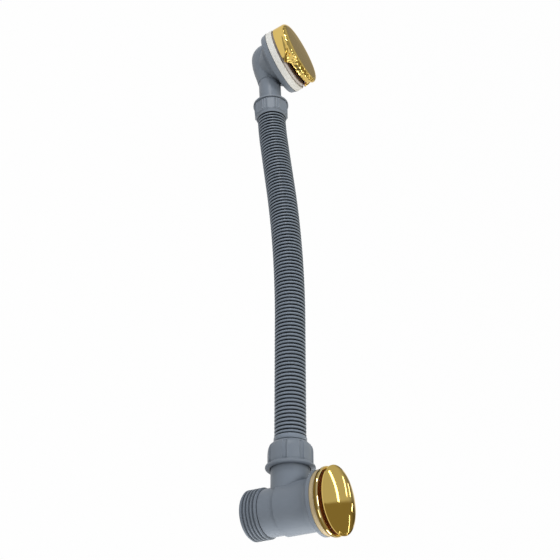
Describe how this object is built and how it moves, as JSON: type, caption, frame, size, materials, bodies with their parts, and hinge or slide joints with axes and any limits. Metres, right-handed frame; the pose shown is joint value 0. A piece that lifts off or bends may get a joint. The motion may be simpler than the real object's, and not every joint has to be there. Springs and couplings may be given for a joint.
{
  "type": "bath waste and overflow",
  "caption": "Push-plug bath waste: a threaded outlet tee with a gold plug, a corrugated hose in compression nuts and an elbow with a notched gold overflow cover.",
  "frame": {"origin": "centre of the waste seat, on the waste's axis at the plane where the gold flange meets the bath", "axes": "+Z along the waste's axis, up into the bath; the branch and the hose run towards -X"},
  "size_m": [0.5888, 0.0727, 0.1013],
  "materials": {
    "grey_plastic": "satin moulded",
    "hose_plastic": "satin moulded",
    "cream_rubber": "matt",
    "white_rubber": "matt",
    "ring_plastic": "satin",
    "gold": "polished",
    "brass": "machined",
    "nylon": "satin",
    "spring_steel": "bright",
    "black_rubber": "matt"
  },
  "bodies": {
    "fixture": {"clicker_body": "brass", "clicker_lid": "brass", "clicker_spring": "spring_steel", "cover_stud": "brass", "lower_cone_seal": "black_rubber", "lower_nut": "grey_plastic", "lower_slip_washer": "nylon", "overflow_cover": "gold", "overflow_elbow": "grey_plastic", "overflow_front_ring": "ring_plastic", "overflow_gasket": "white_rubber", "overflow_hose": "hose_plastic", "upper_nut": "grey_plastic", "upper_seal": "black_rubber", "upper_slip_washer": "nylon", "waste_body": "grey_plastic", "waste_flange": "gold", "waste_gasket": "cream_rubber"},
    "plug": {"plug_cap": "gold", "plug_seal": "black_rubber", "clicker_plunger": "brass", "clicker_ratchet": "nylon"}
  },
  "joints": [
    {"name": "plug_click", "type": "slide", "parent": "fixture", "child": "plug", "axis": [0, 0, 1], "range_m": [-0.0038, 0], "deforming": ["clicker_spring"]}
  ]
}
